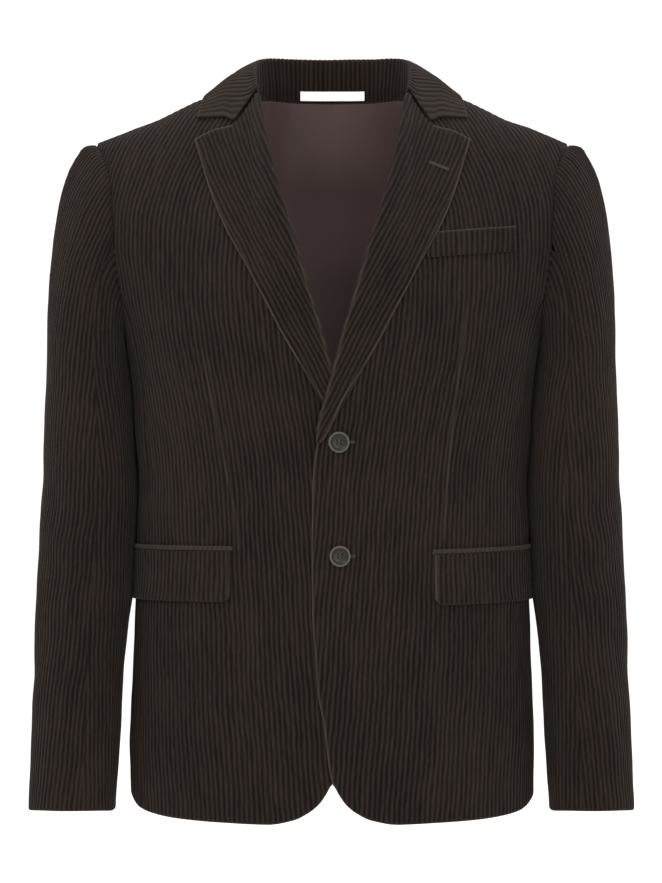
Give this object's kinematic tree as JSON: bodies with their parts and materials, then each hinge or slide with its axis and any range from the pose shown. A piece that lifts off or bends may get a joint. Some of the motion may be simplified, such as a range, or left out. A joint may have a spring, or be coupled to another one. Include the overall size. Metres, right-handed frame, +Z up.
{
  "type": "corduroy jacket",
  "caption": "Single-breasted corduroy jacket with notch lapels, flap pockets, a chest welt and a cutaway hem, filled out as worn with open neck, hem and cuffs.",
  "frame": {"origin": "point between the shoulders at the height of the side neck, inside the collar, where the wearer's neck holds the jacket up", "axes": "+Z up along the jacket's length, -Y out of its front, +X to the wearer's left; the front middle line lies in the plane X = 0"},
  "size_m": [0.5759, 0.25, 0.7325],
  "materials": {
    "corduroy": "cotton corduroy, soft ribbed pile",
    "lining": "smooth twill lining",
    "label": "plain woven tape, blank",
    "button": "polished, horn-like"
  },
  "bodies": {
    "root": {"front_left": "corduroy", "front_right": "corduroy", "side_left": "corduroy", "side_right": "corduroy", "back_left": "corduroy", "back_right": "corduroy", "sleeve_top_left": "corduroy", "sleeve_top_right": "corduroy", "sleeve_under_left": "corduroy", "sleeve_under_right": "corduroy", "collar": "corduroy", "lapel_left": "corduroy", "lapel_right": "corduroy", "jet_left": "corduroy", "jet_right": "corduroy", "flap_left": "corduroy", "flap_right": "corduroy", "chest_welt": "corduroy", "lining_left": "lining", "lining_right": "lining", "label": "label", "button_upper": "button", "button_lower": "button"}
  },
  "joints": []
}
